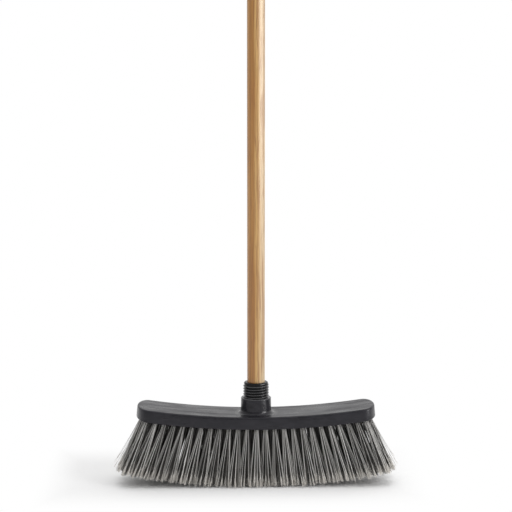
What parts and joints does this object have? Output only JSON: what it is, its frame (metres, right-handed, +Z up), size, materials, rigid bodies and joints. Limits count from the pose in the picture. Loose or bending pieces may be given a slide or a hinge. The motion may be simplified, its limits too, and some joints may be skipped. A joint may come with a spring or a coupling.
{
  "type": "upright broom",
  "caption": "Upright push broom: a round wooden pole with a threaded ferrule that screws into the socket of an up-curved brush head with flared grey bristle tufts.",
  "frame": {"origin": "on the floor under the pole's axis, at the middle of the bristle tips", "axes": "+Z up along the pole, +X along the brush head, -Y towards the front"},
  "size_m": [0.3784, 0.068, 1.3986],
  "materials": {
    "pole_wood": "smooth, clear-coated straight-grained wood",
    "ferrule_plastic": "moulded black plastic, satin",
    "screw_steel": "zinc-plated steel",
    "block_plastic": "moulded black plastic with fine lengthwise streaks, satin",
    "bristles": "split-end polymer filament, warm grey",
    "anchor_steel": "flat steel wire"
  },
  "bodies": {
    "head": {"brush_block": "block_plastic", "front_tufts": "bristles", "inner_tufts": "bristles", "back_tufts": "bristles", "anchor_row_1": "anchor_steel", "anchor_row_2": "anchor_steel", "anchor_row_3": "anchor_steel", "anchor_row_4": "anchor_steel", "anchor_row_5": "anchor_steel"},
    "screw_carrier": {"ferrule_screw": "screw_steel"},
    "handle": {"handle_pole": "pole_wood", "threaded_ferrule": "ferrule_plastic"}
  },
  "joints": [
    {"name": "handle_lift", "type": "slide", "parent": "head", "child": "screw_carrier", "axis": [0, 0, 1], "range_m": [0, 0.0198]},
    {"name": "handle_turn", "type": "hinge", "parent": "screw_carrier", "child": "handle", "pos_m": [0, 0, 0.0943], "axis": [0, 0, 1], "range_deg": [0, 1890]}
  ],
  "couplings": [
    {"joint": "handle_lift", "follows": "handle_turn", "m_per_rad": 0.00059683}
  ]
}
